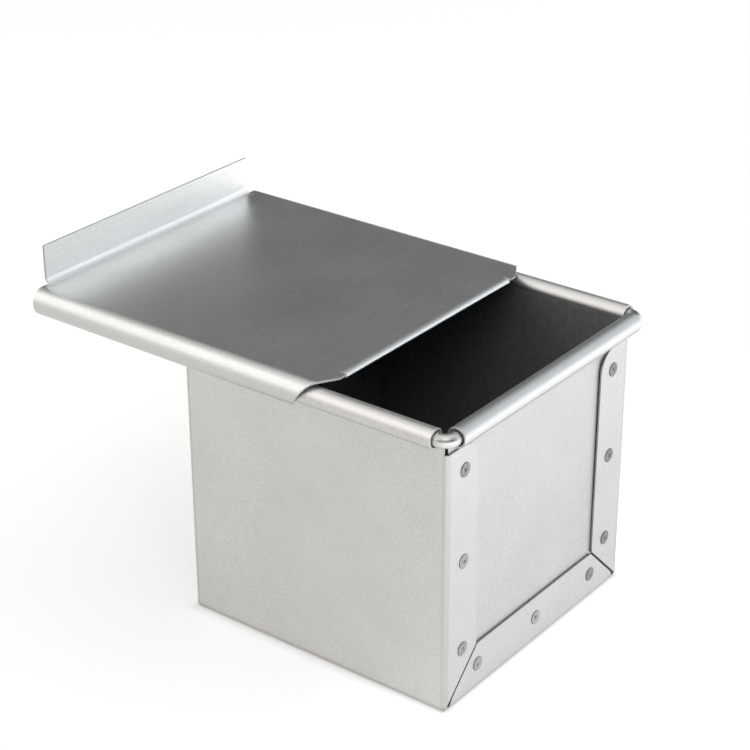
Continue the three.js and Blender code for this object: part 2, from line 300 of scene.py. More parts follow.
class Shader:
    """The nodes of one material, on Object coordinates, with short methods that add and join them."""

    def __init__(self, name: str) -> None:
        """Makes an empty metal.

        Args:
            name: the material's name.
        """
        self.material = bpy.data.materials.new(name)
        self.material.use_nodes = True
        self.nodes = self.material.node_tree.nodes
        self.surface = self.nodes["Principled BSDF"]
        self.surface.inputs["Metallic"].default_value = 1.0
        self.place = self.nodes.new("ShaderNodeTexCoord").outputs["Object"]

    def join(self, value: Value, target: Socket) -> None:
        """Sets an input to a number or a colour, or links it to another node's output.

        Args:
            value: the number, the colour or the other node's output.
            target: the input.
        """
        if isinstance(value, Socket):
            self.material.node_tree.links.new(value, target)
        else:
            target.default_value = (*value, 1.0) if isinstance(value, tuple) else value

    def axes(self) -> list[Socket]:
        """Splits the place into its parts.

        Returns:
            X, Y and Z.
        """
        node = self.nodes.new("ShaderNodeSeparateXYZ")
        self.join(self.place, node.inputs[0])
        return list(node.outputs)

    def noise(self, size: float, detail: float = 2.0, stretch: Triple = (1.0, 1.0, 1.0)) -> Socket:
        """Cloudy noise from 0 to 1.

        Args:
            size: size of its features in millimetres.
            detail: number of finer layers.
            stretch: share of the frequency along X, Y and Z.

        Returns:
            The noise's value.
        """
        mapping = self.nodes.new("ShaderNodeMapping")
        mapping.vector_type = "TEXTURE"
        mapping.inputs["Scale"].default_value = [1 / share for share in stretch]
        self.join(self.place, mapping.inputs["Vector"])
        texture = self.nodes.new("ShaderNodeTexNoise")
        texture.inputs["Scale"].default_value = 1 / (size * MM)
        texture.inputs["Detail"].default_value = detail
        self.join(mapping.outputs["Vector"], texture.inputs["Vector"])
        return texture.outputs["Fac"]

    def maths(self, operation: str, first: Value, second: Value = 0.0) -> Socket:
        """One sum on two values.

        Args:
            operation: the sum's name, such as ADD, MULTIPLY or LESS_THAN.
            first: the first value.
            second: the second value, where the sum has one.

        Returns:
            The result.
        """
        node = self.nodes.new("ShaderNodeMath")
        node.operation = operation
        self.join(first, node.inputs[0])
        self.join(second, node.inputs[1])
        return node.outputs[0]

    def product(self, values: list[Socket]) -> Socket:
        """All the values, multiplied."""
        return reduce(partial(self.maths, "MULTIPLY"), values)

    def ranged(self, value: Socket, span: Span, result: Span = (0.0, 1.0)) -> Socket:
        """A value's range, moved smoothly to another and held at its ends.

        Args:
            value: the value.
            span: where its range starts and ends.
            result: where the new range starts and ends.

        Returns:
            The moved value.
        """
        node = self.nodes.new("ShaderNodeMapRange")
        node.interpolation_type = "SMOOTHSTEP"
        for name, number in zip(("From Min", "From Max", "To Min", "To Max"), (*span, *result)):
            node.inputs[name].default_value = number
        self.join(value, node.inputs["Value"])
        return node.outputs["Result"]

    def mixed(self, share: Socket, first: Value, second: Value, kind: Mix = Mix.RGBA) -> Socket:
        """A value between two others, by a share that varies over the surface.

        Args:
            share: 0 for the first value, 1 for the second.
            first: a colour, a number or a node's output.
            second: another of the same kind.
            kind: whether they are colours or numbers.

        Returns:
            The mixed value.
        """
        node = self.nodes.new("ShaderNodeMix")
        node.data_type = kind.name
        start, end, result = kind.value
        self.join(share, node.inputs[0])
        self.join(first, node.inputs[start])
        self.join(second, node.inputs[end])
        return node.outputs[result]

    def finish(self, colour: Socket, roughness: Socket, height: Socket, depth: float) -> Material:
        """Joins the worked-out colour, roughness and relief to the metal.

        Args:
            colour: the metal's reflection colour.
            roughness: its roughness.
            height: its relief from 0 to 1.
            depth: depth of that relief in millimetres.

        Returns:
            The material.
        """
        bump = self.nodes.new("ShaderNodeBump")
        bump.inputs["Distance"].default_value = depth * MM
        self.join(height, bump.inputs["Height"])
        self.join(colour, self.surface.inputs["Base Color"])
        self.join(roughness, self.surface.inputs["Roughness"])
        self.join(bump.outputs["Normal"], self.surface.inputs["Normal"])
        return self.material


@dataclass(frozen=True)
class BakedCoat:
    """Dark baked coating on the faces that meet the dough, inside a box given by its two corners."""

    low: Triple
    high: Triple
    pale: Triple = (0.19, 0.195, 0.205)
    deep: Triple = (0.15, 0.155, 0.165)
    roughness: float = 0.45
    ragged_edge: float = 0.5
    ragged_size: float = 4.0
    mottle_size: float = 1.6
    mottle_span: Span = (0.35, 0.65)

    def cover(self, shader: Shader) -> Socket:
        """How far the coating covers each place: 1 inside the box, with an uneven top edge.

        Args:
            shader: the nodes to add to.

        Returns:
            A share from 0 to 1.
        """
        axes = shader.axes()
        uneven = shader.maths("MULTIPLY", shader.noise(self.ragged_size), self.ragged_edge * MM)
        top = self.high[2] * MM
        edge = (top - self.ragged_edge * MM, top)
        shares = [shader.ranged(shader.maths("ADD", axes[2], uneven), edge, (1.0, 0.0))]
        for place, low, high in zip(axes, self.low, self.high):
            shares.append(shader.maths("GREATER_THAN", place, low * MM))
            shares.append(shader.maths("LESS_THAN", place, high * MM))
        return shader.product(shares)

    def over(self, shader: Shader, colour: Socket, rough: Socket) -> tuple[Socket, Socket]:
        """Lays the coating over a metal, which is no metal where it is covered.

        Args:
            shader: the metal's nodes.
            colour: the metal's colour.
            rough: the metal's roughness.

        Returns:
            The colour and the roughness with the coating on.
        """
        share = self.cover(shader)
        mottle = shader.ranged(shader.noise(self.mottle_size, detail=3.0), self.mottle_span)
        shade = shader.mixed(mottle, self.deep, self.pale)
        shader.join(shader.maths("SUBTRACT", 1.0, share), shader.surface.inputs["Metallic"])
        return shader.mixed(share, colour, shade), shader.mixed(share, rough, self.roughness, Mix.FLOAT)


@dataclass(frozen=True)
class Stain:
    """A mark, a painted shade or a painted highlight, from where it starts to where it is full on each axis
    that counts.

    Where more than one axis counts, the mark lies where all of them have it. It lies the same way on
    both sides of the pan's middle.
    """

    tone: Triple
    x: Span | None = None
    y: Span | None = None
    z: Span | None = None

    def over(self, shader: Shader, colour: Socket) -> Socket:
        """Lays the mark, shade or highlight over a colour.

        Args:
            shader: the metal's nodes.
            colour: the metal's colour.

        Returns:
            The colour with it laid over.
        """
        shares = [
            shader.ranged(shader.maths("ABSOLUTE", place), (span[0] * MM, span[1] * MM))
            for place, span in zip(shader.axes(), (self.x, self.y, self.z))
            if span is not None
        ]
        return shader.mixed(shader.product(shares), colour, self.tone)


@dataclass(frozen=True, kw_only=True)
class MetalFinish:
    """What every metal has: two tones, a roughness, and marks, painted shade and highlights, and a coating
    where they are given.
    """

    name: str
    pale: Triple
    deep: Triple
    roughness: float
    stains: tuple[Stain, ...] = ()
    coat: BakedCoat | None = None

    def covered(self, shader: Shader, colour: Socket, rough: Socket) -> tuple[Socket, Socket]:
        """Lays the marks and the painted shade and highlights over the bare metal, and then the coating.

        Args:
            shader: the metal's nodes.
            colour: the bare metal's colour.
            rough: its roughness.

        Returns:
            The colour and the roughness with all that lies over the metal.
        """
        for mark_or_light in self.stains:
            colour = mark_or_light.over(shader, colour)
        if self.coat is None:
            return colour, rough
        return self.coat.over(shader, colour, rough)


@dataclass(frozen=True, kw_only=True)
class SheetFinish(MetalFinish):
    """Satin aluminised steel with fine grain, faint rolling marks and hair scratches."""

    brush: Brush
    grain: float = 1.3
    grain_size: float = 0.55
    streaks: float = 0.15
    streak_size: float = 0.6
    clouds: float = 0.5
    cloud_size: float = 20.0
    tone_reach: float = 0.5
    rough_swing: float = 0.04
    scratches: float = 0.0
    scratch_tone: Triple = (0.85, 0.85, 0.83)
    scratch_width: float = 0.3
    scratch_peaks: Span = (0.72, 0.8)
    scratch_patch: float = 9.0
    scratch_patch_span: Span = (0.5, 0.62)
    relief: float = 0.004

    def material(self) -> Material:
        """The finish as nodes.

        Grain, rolling marks and cloudy patches are added by their weights to one measure that sets the
        tone and the roughness. Hair scratches are the peaks of a noise drawn out in one direction,
        kept in patches.

        Returns:
            The material.
        """
        shader = Shader(self.name)
        grain = shader.maths("MULTIPLY", shader.noise(self.grain_size, detail=1.0), self.grain)
        streak = shader.noise(self.streak_size, detail=3.0, stretch=self.brush.value)
        streak = shader.maths("MULTIPLY", streak, self.streaks)
        cloud = shader.maths("MULTIPLY", shader.noise(self.cloud_size, detail=3.0), self.clouds)
        marks = shader.maths("ADD", grain, streak)
        measure = shader.maths("ADD", marks, cloud)
        middle = (self.grain + self.streaks + self.clouds) / 2
        span = beside(middle, (-self.tone_reach, self.tone_reach))
        colour = shader.mixed(shader.ranged(measure, span), self.deep, self.pale)
        rough = shader.ranged(measure, span, beside(self.roughness, (self.rough_swing, -self.rough_swing)))
        if self.scratches > 0:
            line = shader.noise(self.scratch_width, detail=0.0, stretch=Brush.ALONG_X.value)
            line = shader.ranged(line, self.scratch_peaks)
            clump = shader.noise(self.scratch_patch, detail=1.0)
            clump = shader.ranged(clump, self.scratch_patch_span, (0.0, self.scratches))
            colour = shader.mixed(shader.maths("MULTIPLY", line, clump), colour, self.scratch_tone)
        return shader.finish(*self.covered(shader, colour, rough), marks, self.relief)


@dataclass(frozen=True, kw_only=True)
class SteelFinish(MetalFinish):
    """Plain steel of the wire, the rivets and the cut edges, with fine pits."""

    metal: float = 1.0
    pit_size: float = 0.35
    patch_size: float = 6.0
    weight: float = 0.5
    tone_span: Span = (0.38, 0.62)
    rough_span: Span = (0.3, 0.7)
    rough_swing: float = 0.06
    relief: float = 0.01

    def material(self) -> Material:
        """The finish as nodes: fine pits and soft patches set the tone, the roughness and the relief.

        Returns:
            The material.
        """
        shader = Shader(self.name)
        shader.surface.inputs["Metallic"].default_value = self.metal
        pits = shader.maths("MULTIPLY", shader.noise(self.pit_size), self.weight)
        patches = shader.maths("MULTIPLY", shader.noise(self.patch_size, detail=1.0), self.weight)
        measure = shader.maths("ADD", pits, patches)
        colour = shader.mixed(shader.ranged(measure, self.tone_span), self.deep, self.pale)
        swing = beside(self.roughness, (self.rough_swing, -self.rough_swing))
        rough = shader.ranged(measure, self.rough_span, swing)
        return shader.finish(*self.covered(shader, colour, rough), pits, self.relief)


@dataclass(frozen=True)
class PanSizes:
    """The pan's sizes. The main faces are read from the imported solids, and the folds are named here."""

    flap_face: float
    sheet: float
    cavity_x: float
    cavity_y: float
    roll_x: float
    roll_y: float
    roll_z: float
    roll_radius: float
    wire_radius: float
    panel_foot: float
    bend: float = 0.5
    flap_width: float = 13.5
    flap_corner: float = 6.0
    flap_taper: float = 0.7
    flap_roll_gap: float = 2.3
    wall_rise: float = 1.9
    corner_relief: float = 1.3
    corner_tongue: float = 0.6
    mitre_gap: float = 0.6
    panel_edge_gap: float = 0.1
    side_roll_setback: float = 1.8
    roll_mouth: float = 0.35
    neck_steps: int = 2
    wire_corner: float = 2.8
    wire_joint: float = 0.5
    edge: float = 0.16

    @classmethod
    def measured(cls) -> "PanSizes":
        """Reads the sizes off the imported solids' boxes.

        Returns:
            The sizes.
        """
        shell_high = corners("body_shell")[1]
        panel_low = corners("end_panel_front")[0]
        wire_low, wire_high = corners("rim_wire")
        wire_radius = (wire_high[2] - wire_low[2]) / 2
        roll_z = (wire_high[2] + wire_low[2]) / 2
        roll_radius = shell_high[2] - roll_z
        roll_y = wire_high[1] - wire_radius
        return cls(
            flap_face=shell_high[0],
            sheet=(shell_high[0] - panel_low[0]) / 2,
            cavity_x=panel_low[0],
            cavity_y=roll_y - roll_radius,
            roll_x=wire_high[0] - wire_radius,
            roll_y=roll_y,
            roll_z=roll_z,
            roll_radius=roll_radius,
            wire_radius=wire_radius,
            panel_foot=panel_low[2],
        )

    @property
    def flap_inner(self) -> float:
        """The flaps' inner face, along X."""
        return self.flap_face - self.sheet

    @property
    def bend_start(self) -> float:
        """Where the walls and the floor start to bend into the flaps, along X."""
        return self.flap_inner - self.bend

    @property
    def wall_outer(self) -> float:
        """The side walls' outer face, along Y."""
        return self.cavity_y + self.sheet

    @property
    def floor_half(self) -> float:
        """Half the floor's flat width, inside its bends."""
        return self.cavity_y - self.bend

    @property
    def bend_top(self) -> float:
        """Height at which the floor's bends end."""
        return self.sheet + self.bend

    @property
    def flap_top(self) -> float:
        """Height of the flaps' upper ends, just under the roll."""
        return self.roll_z - self.roll_radius - self.flap_roll_gap

    @property
    def wall_end(self) -> float:
        """Height of the walls beside the rolls' ends."""
        return self.flap_top + self.wall_rise

    @property
    def window_half(self) -> float:
        """Half the width of the panel that shows between the side flaps."""
        return self.wall_outer - self.flap_width

    @property
    def mitre_shift(self) -> float:
        """Half the mitre's slot, measured along Y."""
        return self.mitre_gap / math.sqrt(2)

    @property
    def mouth_angle(self) -> float:
        """Angle at which a roll ends, just short of the sheet's own outer face."""
        reach = (self.roll_radius - self.sheet - self.roll_mouth) / self.roll_radius
        return math.degrees(math.acos(reach)) - 180

    def outside(self, place: Array, start: float, bent: Array) -> Array:
        """Places on a sheet's outer face: the bent ones lie further from the bend's start."""
        return np.where(bent, start + (place - start) * (self.bend + self.sheet) / self.bend, place)

    def rolled_edge(self, centre: float, foot: float, steps: int) -> Array:
        """Line up a sheet's inner face and round its roll.

        Args:
            centre: distance of the roll's centre from the pan's middle.
            foot: height at which the line starts.
            steps: number of steps round the roll.

        Returns:
            Points of distance and height.
        """
        inner = centre - self.roll_radius
        neck = straight((inner, foot), (inner, self.roll_z), self.neck_steps)
        return joined(neck, arc((centre, self.roll_z), self.roll_radius, 180, self.mouth_angle, steps))


@dataclass(frozen=True)
class PanFinishes:
    """The pan's metals, the coating inside it, the painted shade and highlights laid over them, and the
    rivets' darker dishes.

    The coating's skins are shares of the sheet. A mark's offsets are from the line that it follows.
    """

    sizes: PanSizes
    panel_skin: float = 0.2
    wall_skin: float = 0.5
    # Painted shade along the bends.
    fold_tone: Triple = (0.53, 0.52, 0.5)
    fold_fade: float = 0.5
    # Painted highlight along the tops of the side rolls, where the lid also rubs.
    burnish_tone: Triple = (0.84, 0.83, 0.81)
    burnish_rise: Span = (0.4, 1.6)
    # Painted shade on the panel under the floor flaps, seen in the mitres.
    grime_tone: Triple = (0.1, 0.1, 0.095)
    grime_drop: Span = (-0.2, -0.6)
    # Painted highlight along the end rolls' outermost line.
    wear_tone: Triple = (0.68, 0.67, 0.655)
    wear_reach: Span = (2.0, 2.5)
    # Painted shade under the end rolls.
    underside_tone: Triple = (0.4, 0.395, 0.385)
    underside_reach: Span = (0.5, 1.0)
    underside_drop: Span = (-0.5, -1.5)
    dish_tone: Triple = (0.07, 0.068, 0.062)
    dish_rise: Span = (0.2, 0.04)

    def coat(self) -> BakedCoat:
        """The coating inside the pan, which stops where the rolls begin.

        Returns:
            The coating.
        """
        pan = self.sizes
        wall_skin = self.wall_skin * pan.sheet
        low = (-pan.cavity_x - self.panel_skin * pan.sheet, -pan.cavity_y - wall_skin, wall_skin)
        return BakedCoat(low, (-low[0], -low[1], pan.roll_z + wall_skin))

    def folds(self) -> tuple[Stain, ...]:
        """Bands of painted shade along the bends between the walls, the floor and the end flaps.

        Returns:
            One mark for each kind of bend.
        """
        pan, tone = self.sizes, self.fold_tone
        ends = (pan.bend_start - self.fold_fade, pan.bend_start)
        sides = (pan.floor_half - self.fold_fade, pan.floor_half)
        low = (pan.bend_top + self.fold_fade, pan.bend_top)
        return Stain(tone, x=ends, y=sides), Stain(tone, y=sides, z=low), Stain(tone, x=ends, z=low)

    def body(self) -> Material:
        """Metal of the folded sheet: painted shade along the bends, and a painted highlight along the tops
        of the rolls, where the lid also rubs.

        Returns:
            The material.
        """
        # Painted highlight along the tops of the side rolls.
        roll_top_highlight = Stain(self.burnish_tone, z=beside(self.sizes.roll_z, self.burnish_rise))
        return SheetFinish(
            name="body_satin", pale=(0.65, 0.645, 0.625), deep=(0.555, 0.55, 0.53), roughness=0.46,
            brush=Brush.ALONG_X, coat=self.coat(), stains=(*self.folds(), roll_top_highlight),
        ).material()

    def panel(self) -> Material:
        """Metal of the end panels.

        Where the floor flaps cover them they are darker, a painted shade that shows in the mitres. The rolls
        have a painted highlight along their outermost line and painted shade underneath.

        Returns:
            The material.
        """
        pan = self.sizes
        # Painted shade under the floor flaps, and a painted highlight and painted shade on the end rolls.
        mitre_shade = Stain(self.grime_tone, z=beside(pan.flap_width, self.grime_drop))
        end_roll_highlight = Stain(self.wear_tone, x=beside(pan.roll_x, self.wear_reach))
        under_x, under_z = beside(pan.roll_x, self.underside_reach), beside(pan.roll_z, self.underside_drop)
        return SheetFinish(
            name="panel_satin", pale=(0.615, 0.615, 0.605), deep=(0.535, 0.535, 0.525), roughness=0.48,
            brush=Brush.ALONG_Z, coat=self.coat(),
            stains=(mitre_shade, end_roll_highlight, Stain(self.underside_tone, x=under_x, z=under_z)),
        ).material()

    def cut_edge(self) -> Material:
        """Steel of the cut edges, coated inside the pan."""
        return SteelFinish(
            name="cut_steel", pale=(0.46, 0.455, 0.445), deep=(0.34, 0.335, 0.325), roughness=0.45,
            coat=self.coat(),
        ).material()

    def wire(self) -> Material:
        """Drawn steel of the rim's wire."""
        return SteelFinish(
            name="wire_drawn", pale=(0.68, 0.68, 0.66), deep=(0.58, 0.58, 0.56), roughness=0.38
        ).material()

    def rivet(self) -> Material:
        """Dull steel of the rivets, dark in the dishes of their heads and coated inside the pan."""
        dark_dish = Stain(self.dish_tone, x=beside(self.sizes.flap_face, self.dish_rise))
        return SteelFinish(
            name="rivet_dull", pale=(0.42, 0.415, 0.4), deep=(0.24, 0.235, 0.22), roughness=0.45,
            coat=self.coat(), stains=(dark_dish,), patch_size=25.0,
        ).material()


@dataclass
class BodyShell:
    """Floor, side walls and end flaps, folded from one sheet, with the walls' tops rolled over the wire."""

    sizes: PanSizes
    bend_steps: int = 6
    floor_steps: int = 24
    wall_steps: int = 30
    length_steps: int = 40
    flap_steps: int = 8
    corner_steps: int = 20
    roll_steps: int = 50
    wall_ripple: float = 0.1

    def half_section(self) -> Array:
        """Line across the pan's inner face, from the floor's middle to the end of one roll.

        Returns:
            Points of Y and Z.
        """
        pan = self.sizes
        floor = straight((0, pan.sheet), (pan.floor_half, pan.sheet), self.floor_steps)
        bend = arc((pan.floor_half, pan.bend_top), pan.bend, -90, 0, self.bend_steps)
        wall = straight((pan.cavity_y, pan.bend_top), (pan.cavity_y, pan.flap_top), self.wall_steps)
        top = straight((pan.cavity_y, pan.flap_top), (pan.cavity_y, pan.wall_end), 1)
        return joined(floor, bend, wall, top, pan.rolled_edge(pan.roll_y, pan.wall_end, self.roll_steps))

    def trough(self) -> Patch:
        """Floor and walls: the section carried along X.

        The rolls stop short of the ends, and beside them the walls end a little above the flaps. The
        bends along the floor run on a little past the walls. The walls are a little uneven.

        Returns:
            The patch.
        """
        pan = self.sizes
        half = self.half_section()
        section = joined((half * [-1, 1])[::-1], half)
        roll_end = pan.flap_face - pan.side_roll_setback
        middle = np.linspace(-roll_end, roll_end, self.length_steps + 1)
        tongue_end = pan.bend_start + pan.corner_tongue
        along = np.concatenate([[-tongue_end, -pan.bend_start], middle, [pan.bend_start, tongue_end]])
        x = along[:, None]
        y, z = section.T
        on_wall = np.abs(np.abs(y) - pan.cavity_y) < WELD_GAP
        height = (z - pan.bend_top) / (pan.flap_top - pan.bend_top)
        uneven = ripple((x + roll_end) / (2 * roll_end), height, self.wall_ripple)
        place = np.abs(x[:-1] + x[1:]) / 2
        middle_y, middle_z = np.abs(section[:-1] + section[1:]).T / 2
        on_bend = (middle_z < pan.bend_top) & (middle_y > pan.floor_half)
        inside_walls = (place < pan.bend_start) & (middle_z < pan.wall_end)
        kept = (place < roll_end) | inside_walls | on_bend
        return Patch.of(x, y + np.where(on_wall, uneven, 0.0), z, kept, flipped=True)

    def side_flap(self) -> Patch:
        """The flap at +X and +Y: a bend and a flat, carried up Z between two edges.

        The lower edge is the mitre, at half a right angle, and the upper one is level with a round
        inner corner. The inner edge leans away from the middle towards the top.

        Returns:
            The patch.
        """
        pan = self.sizes
        shoulder = pan.window_half + pan.flap_corner
        bend = arc((pan.bend_start, pan.floor_half), pan.bend, 90, 0, self.bend_steps)
        flat = straight((pan.flap_inner, pan.floor_half), (pan.flap_inner, shoulder), self.flap_steps)
        rounded = straight((pan.flap_inner, shoulder), (pan.flap_inner, pan.window_half), self.corner_steps)
        plan = joined(bend, flat, rounded)
        outer = pan.outside(plan[:, 1], pan.floor_half, plan[:, 1] > pan.floor_half)
        low = np.maximum(pan.bend_top, pan.wall_outer + pan.mitre_shift - outer)
        drop = np.clip(shoulder - plan[:, 1], 0, pan.flap_corner)
        high = pan.flap_top - pan.flap_corner + np.sqrt(pan.flap_corner**2 - drop**2)
        heights = np.linspace(pan.bend_top, pan.flap_top, self.wall_steps + 1)
        share = (heights - pan.bend_top) / (pan.flap_top - pan.bend_top)
        z = low[:, None] + share[None, :] * (high - low)[:, None]
        climb = np.clip((z - pan.flap_width) / (pan.flap_top - pan.flap_corner - pan.flap_width), 0, 1)
        inward = np.clip((pan.floor_half - plan[:, 1:]) / (pan.floor_half - pan.window_half), 0, 1)
        return Patch.of(plan[:, :1], plan[:, 1:] + pan.flap_taper * climb * inward, z, flipped=True)

    def floor_flap(self) -> Patch:
        """The flap up from the floor at +X: a bend and a flat, as wide at each height as the mitre allows.

        Returns:
            The patch.
        """
        pan = self.sizes
        bend = arc((pan.bend_start, pan.bend_top), pan.bend, -90, 0, self.bend_steps)
        flat = straight((pan.flap_inner, pan.bend_top), (pan.flap_inner, pan.flap_width), self.flap_steps)
        side = joined(bend, flat)
        outer = pan.outside(side[:, 1], pan.bend_top, side[:, 1] < pan.bend_top)
        reach = np.minimum(pan.floor_half - pan.corner_relief, pan.wall_outer - pan.mitre_shift - outer)
        reach[0] = pan.floor_half
        across = np.linspace(-pan.floor_half, pan.floor_half, 2 * self.floor_steps + 1)
        return Patch.of(side[:, :1], (reach / pan.floor_half)[:, None] * across, side[:, 1:], flipped=True)

    def build(self) -> Piece:
        """Folds the trough and its six flaps into one sheet and gives it its thickness.

        Returns:
            The sheet.
        """
        side, floor = self.side_flap(), self.floor_flap()
        patches = [self.trough()]
        patches += [side.mirrored(sign_x, sign_y) for sign_x in (1, -1) for sign_y in (1, -1)]
        patches += [floor.mirrored(sign_x, 1) for sign_x in (1, -1)]
        return make_sheet("body_shell_sheet", patches, self.sizes.sheet, self.sizes.edge)

    def dress(self, metal: Material, cut_edge: Material) -> None:
        """Builds the sheet and hands it over in its metal, its cut edges in theirs."""
        hand_over(self.build(), "body_shell", "pan", "body_sheet", metal, cut_edge)


@dataclass
class EndPanel:
    """Flat panel behind the flaps of one end, its top edge rolled outward over the wire."""

    sizes: PanSizes
    end: End
    panel_steps: int = 60
    width_steps: int = 80
    roll_steps: int = 50
    set_back: float = 0.35
    low_set_back: float = 0.14
    shoulder: float = 3.0
    window_ripple: float = 0.06

    def patch(self) -> Patch:
        """The front panel: its inner face and roll carried across Y.

        The part that shows between the flaps is a little uneven, and pressed back from their free
        edges, most at the top. It comes forward again under the flaps and behind the roll, by smooth
        steps.

        Returns:
            The patch.
        """
        pan = self.sizes
        neck = pan.flap_top + pan.flap_roll_gap / 2
        plate = straight((pan.cavity_x, pan.panel_foot), (pan.cavity_x, neck), self.panel_steps)
        side = joined(plate, pan.rolled_edge(pan.roll_x, neck, self.roll_steps))
        half = pan.floor_half - pan.panel_edge_gap
        y = np.linspace(-half, half, self.width_steps + 1)[:, None]
        x, z = side.T
        on_plate = np.arange(len(side)) <= self.panel_steps
        between = smooth_step((pan.window_half + pan.flap_taper + self.shoulder - np.abs(y)) / self.shoulder)
        above = smooth_step((z - pan.flap_width + self.shoulder) / self.shoulder)
        below = smooth_step((neck - z) / self.shoulder)
        place = (y + pan.window_half) / (2 * pan.window_half)
        height = (z - pan.flap_width) / (pan.flap_top - pan.flap_width)
        back = self.low_set_back + (self.set_back - self.low_set_back) * np.clip(height, 0, 1)
        offset = ripple(place, height, self.window_ripple) - back * between * above * below
        return Patch.of(x + np.where(on_plate, offset, 0.0), y, z)

    def build(self) -> Piece:
        """Makes the panel; the rear one is the front one turned half round."""
        patch = self.patch().mirrored(self.end.value, self.end.value)
        return make_sheet(f"{self.end.panel}_sheet", [patch], self.sizes.sheet, self.sizes.edge)

    def dress(self, metal: Material, cut_edge: Material) -> None:
        """Builds the panel and hands it over in its metal, its cut edges in theirs."""
        hand_over(self.build(), self.end.panel, "pan", "panel_sheet", metal, cut_edge)


@dataclass
class RimWire:
    """The stiffening wire inside the four rolls, bent round the corners, where it shows."""

    sizes: PanSizes
    corner_steps: int = 14
    sides: int = 32

    def build(self) -> Piece:
        """A circle carried round the rim, from one side of the joint in the rear roll to the other.

        At each station the circle lies in the outward direction and Z. Its ends close to a point.

        Returns:
            The wire.
        """
        pan = self.sizes
        signs = np.array([[-1, -1], [1, -1], [1, 1], [-1, 1]])
        turn = np.linspace(0, 90, self.corner_steps + 1)
        angle = np.radians(180 + 90 * np.arange(4)[:, None] + turn[None, :])
        outward = np.stack([np.cos(angle), np.sin(angle)], axis=-1)
        centres = signs * (np.array([pan.roll_x, pan.roll_y]) - pan.wire_corner)
        bends = centres[:, None, :] + pan.wire_corner * outward
        start = np.array([[-pan.roll_x, -pan.wire_joint / 2]] * 2)
        path = np.concatenate([start, bends.reshape(-1, 2), start * [1, -1]])
        rear = np.array([[-1.0, 0.0]] * 2)
        outward = np.concatenate([rear, outward.reshape(-1, 2), rear])
        radius = np.full((len(path), 1), pan.wire_radius)
        radius[[0, -1]] = 0
        ring = np.radians(np.linspace(0, 360, self.sides + 1))
        x, y = (path[:, [axis]] + radius * np.cos(ring) * outward[:, [axis]] for axis in (0, 1))
        return make_piece("rim_wire_rod", [Patch.of(x, y, pan.roll_z + radius * np.sin(ring), flipped=True)])

    def dress(self, metal: Material) -> None:
        """Builds the wire and hands it over in its metal."""
        hand_over(self.build(), "rim_wire", "pan", "wire", metal)


@dataclass
class Rivet:
    """One flush rivet with a dished head outside and a flat tail inside, each set a little differently."""

    node: str
    end: End
    number: int
    shank_radius: float = 1.2
    tail_radius: float = 1.8
    tail_height: float = 0.5
    tail_fillet: float = 0.3
    tail_steps: int = 4
    head_height: float = 0.25
    rim_height: float = 0.08
    crest: float = 0.76
    dish_depth: float = 0.08
    dish_range: Span = (0.6, 1.0)
    pit_radius: float = 0.6
    pit_depth: float = 0.13
    pit_range: Span = (0.5, 1.0)
    pit_lean: float = 0.3
    head_steps: int = 22
    sides: int = 40

    def head(self, radius: Array, head_radius: float, dish: float, pit: float) -> Array:
        """Height of the head at each radius.

        Outside its crest the head falls to its rim along a quarter wave. Inside the crest it is a
        shallow bowl, whose floor rises with the square of the radius, with a pit of bell shape in the
        middle.

        Args:
            radius: distances from the rivet's axis.
            head_radius: radius of the head.
            dish: depth of the bowl.
            pit: depth of the pit.

        Returns:
            The heights above the head's seat.
        """
        crest = self.crest * head_radius
        fall = np.clip((radius - crest) / (head_radius - crest), 0, 1)
        rim = self.rim_height + (self.head_height - self.rim_height) * np.cos(np.pi / 2 * fall)
        bowl = dish * np.clip(1 - (radius / crest) ** 2, 0, 1)
        return rim - bowl - pit * np.exp(-((radius / self.pit_radius) ** 2))

    def profile(self, grip: float, head_radius: float, dish: float, pit: float) -> Array:
        """Line from the tail's middle, round the tail, shank and head, to the head's middle.

        Args:
            grip: thickness of the sheets between tail and head.
            head_radius: radius of the head.
            dish: depth of the head's bowl.
            pit: depth of the pit in it.

        Returns:
            Points of radius and distance along the rivet, from the head's seat.
        """
        tail_end = -grip - self.tail_height
        round_centre = (self.tail_radius - self.tail_fillet, tail_end + self.tail_fillet)
        tail = arc(round_centre, self.tail_fillet, -90, 0, self.tail_steps)
        under_tail = [[self.tail_radius, -grip], [self.shank_radius, -grip]]
        under_head = [[self.shank_radius, 0], [head_radius, 0]]
        radius = np.linspace(head_radius, 0, self.head_steps + 1)
        head = np.stack([radius, self.head(radius, head_radius, dish, pit)], axis=1)
        return np.concatenate([[[0, tail_end]], tail, under_tail, under_head, head])

    def build(self) -> Piece:
        """The profile turned about the rivet's axis, with its pit off the middle by a seeded amount.

        Returns:
            The rivet.
        """
        low, high = corners(self.node)
        chance = np.random.default_rng(self.number)
        centre = (low + high) / 2
        head_radius = (high[2] - low[2]) / 2
        grip = high[0] - low[0] - self.tail_height - self.head_height
        dish = self.dish_depth * chance.uniform(*self.dish_range)
        pit = self.pit_depth * chance.uniform(*self.pit_range)
        profile = self.profile(grip, head_radius, dish, pit)
        lean = chance.uniform(-self.pit_lean, self.pit_lean, 2)
        turn = np.radians(np.linspace(0, 360, self.sides + 1))
        radius, along = profile[:, :1], profile[:, 1:]
        on_head = np.arange(len(profile))[:, None] >= len(profile) - self.head_steps
        shift = np.where(on_head, np.clip(1 - radius / (self.crest * head_radius), 0, 1), 0)
        y = radius * np.cos(turn) + shift * lean[0]
        z = radius * np.sin(turn) + shift * lean[1]
        sign = self.end.value
        outer = high[0] if self.end is End.FRONT else -low[0]
        x = sign * (along + outer - self.head_height)
        return make_piece(f"{self.node}_set", [Patch.of(x, centre[1] + sign * y, centre[2] + z)])

    def dress(self, metal: Material) -> None:
        """Builds the rivet and hands it over in its metal."""
        hand_over(self.build(), self.node, "pan", "rivet", metal)


